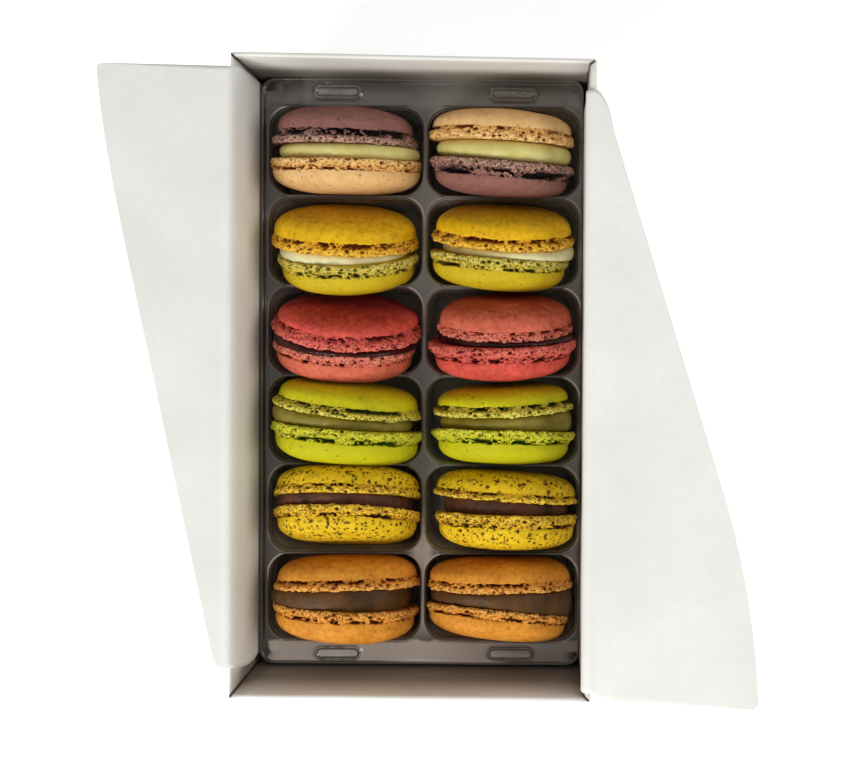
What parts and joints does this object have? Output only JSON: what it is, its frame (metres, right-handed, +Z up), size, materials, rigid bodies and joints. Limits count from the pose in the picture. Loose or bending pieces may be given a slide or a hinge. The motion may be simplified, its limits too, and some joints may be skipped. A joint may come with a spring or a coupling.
{
  "type": "box of macarons",
  "caption": "White folded card box with paper wings folded out, a clear insert tray and pairs of sandwiched macarons standing on edge in its pockets.",
  "frame": {"origin": "middle of the box's underside", "axes": "+Z up, +Y along the box towards its far end, +X across it"},
  "size_m": [0.1908, 0.1936, 0.0605],
  "materials": {
    "card": "smooth white folded card, satin",
    "tray": "thin clear smoky plastic sheet, glossy",
    "paper": "smooth white paper, faintly mottled",
    "mauve": "matt baked almond meringue with a crumbly foot",
    "beige": "matt baked almond meringue with a crumbly foot",
    "golden": "matt baked almond meringue with a crumbly foot",
    "lime": "matt baked almond meringue with a crumbly foot",
    "coral": "matt baked almond meringue with a crumbly foot",
    "salmon": "matt baked almond meringue with a crumbly foot",
    "olive": "matt baked almond meringue with a crumbly foot",
    "green": "matt baked almond meringue with a crumbly foot",
    "speckled": "matt baked almond meringue with a crumbly foot and dark specks",
    "caramel": "matt baked almond meringue with a crumbly foot",
    "cream": "soft pale cream, satin",
    "white": "soft white cream, satin",
    "jam": "dark red jam, glossy",
    "pistachio": "grey green cream, satin",
    "chocolate": "dark chocolate cream, satin",
    "toffee": "brown caramel cream, glossy"
  },
  "bodies": {
    "box": {"box": "card", "tray_left": "tray", "tray_right": "tray", "liner_left": "paper", "liner_right": "paper", "row1_left_upper": "mauve", "row1_left_filling": "cream", "row1_left_lower": "beige", "row1_right_upper": "beige", "row1_right_filling": "cream", "row1_right_lower": "mauve", "row2_left_upper": "golden", "row2_left_filling": "white", "row2_left_lower": "lime", "row2_right_upper": "golden", "row2_right_filling": "white", "row2_right_lower": "lime", "row3_left_upper": "coral", "row3_left_filling": "jam", "row3_left_lower": "salmon", "row3_right_upper": "salmon", "row3_right_filling": "jam", "row3_right_lower": "coral", "row4_left_upper": "olive", "row4_left_filling": "pistachio", "row4_left_lower": "green", "row4_right_upper": "olive", "row4_right_filling": "pistachio", "row4_right_lower": "green", "row5_left_upper": "speckled", "row5_left_filling": "chocolate", "row5_left_lower": "speckled", "row5_right_upper": "speckled", "row5_right_filling": "chocolate", "row5_right_lower": "speckled", "row6_left_upper": "caramel", "row6_left_filling": "toffee", "row6_left_lower": "caramel", "row6_right_upper": "caramel", "row6_right_filling": "toffee", "row6_right_lower": "caramel"},
    "wing_left": {"flap_left": "paper"},
    "wing_right": {"flap_right": "paper"}
  },
  "joints": [
    {"name": "fold_left", "type": "hinge", "parent": "box", "child": "wing_left", "pos_m": [-0.0554, 0, 0.0525], "axis": [0, 1, 0], "range_deg": [0, 169]},
    {"name": "fold_right", "type": "hinge", "parent": "box", "child": "wing_right", "pos_m": [0.052, 0, 0.0525], "axis": [0, -1, 0], "range_deg": [0, 167]}
  ]
}
